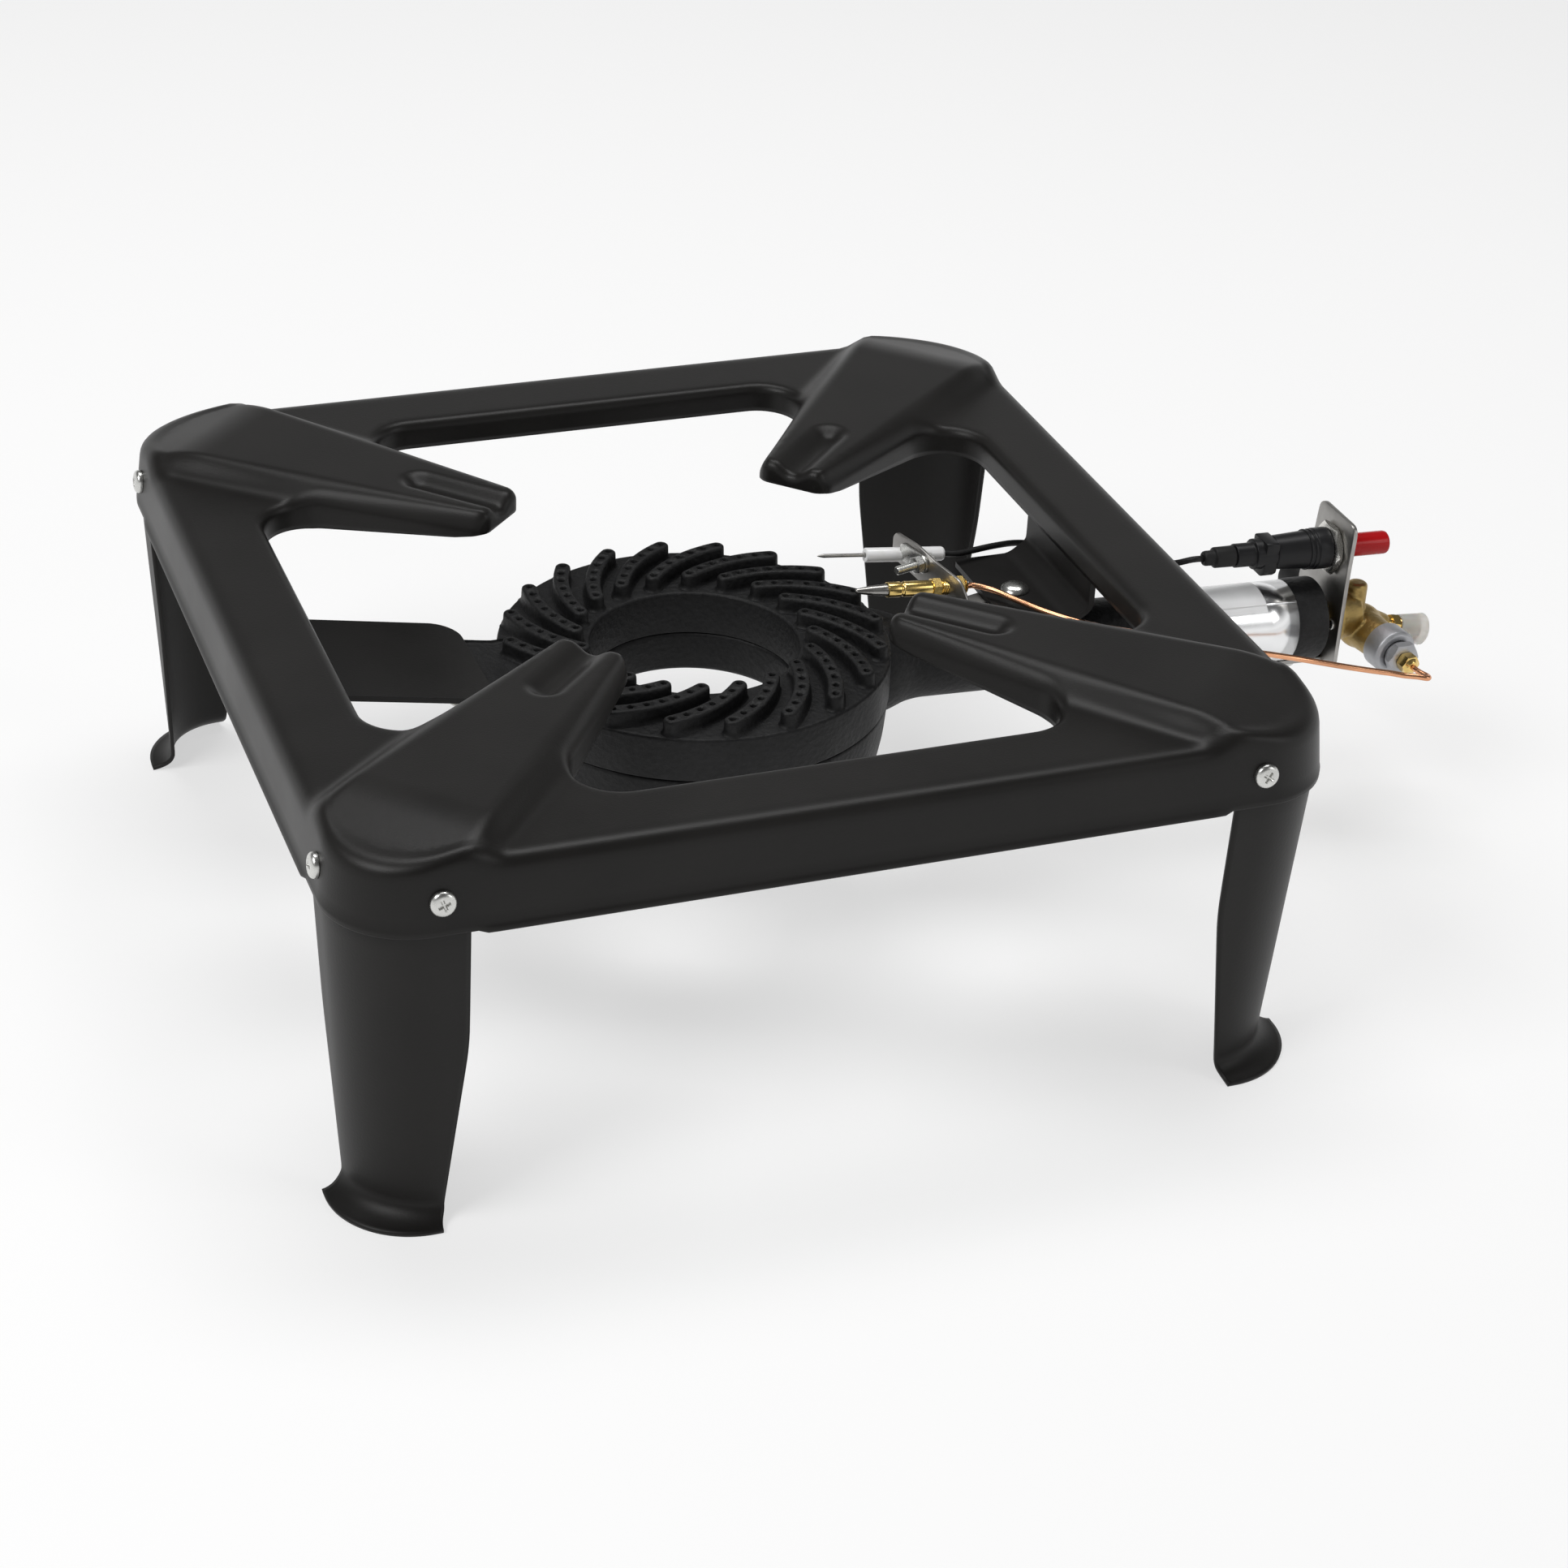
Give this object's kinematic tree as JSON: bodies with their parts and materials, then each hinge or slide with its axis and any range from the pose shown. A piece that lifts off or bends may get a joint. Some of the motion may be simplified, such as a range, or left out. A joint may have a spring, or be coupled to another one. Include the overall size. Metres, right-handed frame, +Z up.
{
  "type": "gas stool burner",
  "caption": "Low square stool cooker of black pressed steel with one cast-iron ring burner, mixing tube, piezo spark, flame probe and safety gas valve.",
  "frame": {"origin": "centre of the square frame, on the surface that the feet stand on", "axes": "+X towards the gas side along the mixing tube, +Y to the back, +Z up"},
  "size_m": [0.5542, 0.4032, 0.1662],
  "materials": {
    "black_steel": "satin black enamel on pressed steel",
    "cast_iron": "dark as-cast skin",
    "zinc_steel": "bright zinc plate",
    "sleeve_aluminium": "thin bright foil sleeve",
    "bracket_steel": "plain sheet, dull",
    "brass": "forged and turned brass",
    "copper": null,
    "nickel": "bright nickel plate",
    "milky_plastic": "translucent milky cap",
    "black_plastic": "moulded, low gloss",
    "red_plastic": "moulded, glossy",
    "black_rubber": "soft sleeving",
    "white_ceramic": "white glaze",
    "spring_steel": "plain wire and rod"
  },
  "bodies": {
    "stove": {"top_frame": "black_steel", "leg_front_left": "black_steel", "leg_front_right": "black_steel", "leg_back_left": "black_steel", "leg_back_right": "black_steel", "leg_screws": "zinc_steel", "leg_nuts": "zinc_steel", "support_left": "black_steel", "support_right": "black_steel", "support_stud": "zinc_steel", "support_stud_nut": "zinc_steel", "burner_base": "cast_iron", "burner_head": "cast_iron", "burner_joint_screws": "zinc_steel", "coach_screw": "zinc_steel", "tube_sleeve": "sleeve_aluminium", "valve_bracket": "bracket_steel", "bracket_screw": "zinc_steel", "gas_jet": "brass", "valve_body": "brass", "magnet_housing": "nickel", "magnet_plug": "nickel", "probe_nut": "brass", "valve_spring": "spring_steel", "valve_rivets": "zinc_steel", "piezo_body": "black_plastic", "piezo_nut": "nickel", "piezo_spring": "spring_steel", "lead_boot": "black_rubber", "spark_lead": "black_rubber", "spark_insulator": "white_ceramic", "spark_needle": "spring_steel", "igniter_bracket": "bracket_steel", "igniter_bolt": "zinc_steel", "igniter_nut": "zinc_steel", "igniter_clamp": "zinc_steel", "probe_tip": "spring_steel", "probe_body": "brass", "probe_locknut": "brass", "probe_tube": "copper"},
    "spark_button": {"piezo_button": "red_plastic"},
    "gas_button": {"valve_button": "black_plastic"},
    "cap": {"inlet_cap": "milky_plastic"}
  },
  "joints": [
    {"name": "spark_press", "type": "slide", "parent": "stove", "child": "spark_button", "axis": [-0.9992, 0, 0.0401], "range_m": [0, 0.007], "stiffness_N_per_m": 900, "springref_m": -0.002, "deforming": ["piezo_spring"]},
    {"name": "gas_press", "type": "slide", "parent": "stove", "child": "gas_button", "axis": [0.1044, -0.9945, -0.0042], "range_m": [0, 0.005], "stiffness_N_per_m": 1000, "springref_m": -0.002, "deforming": ["valve_spring"]},
    {"name": "cap_pull", "type": "slide", "parent": "stove", "child": "cap", "axis": [0.9646, 0, -0.2639], "range_m": [0, 0.02]}
  ]
}
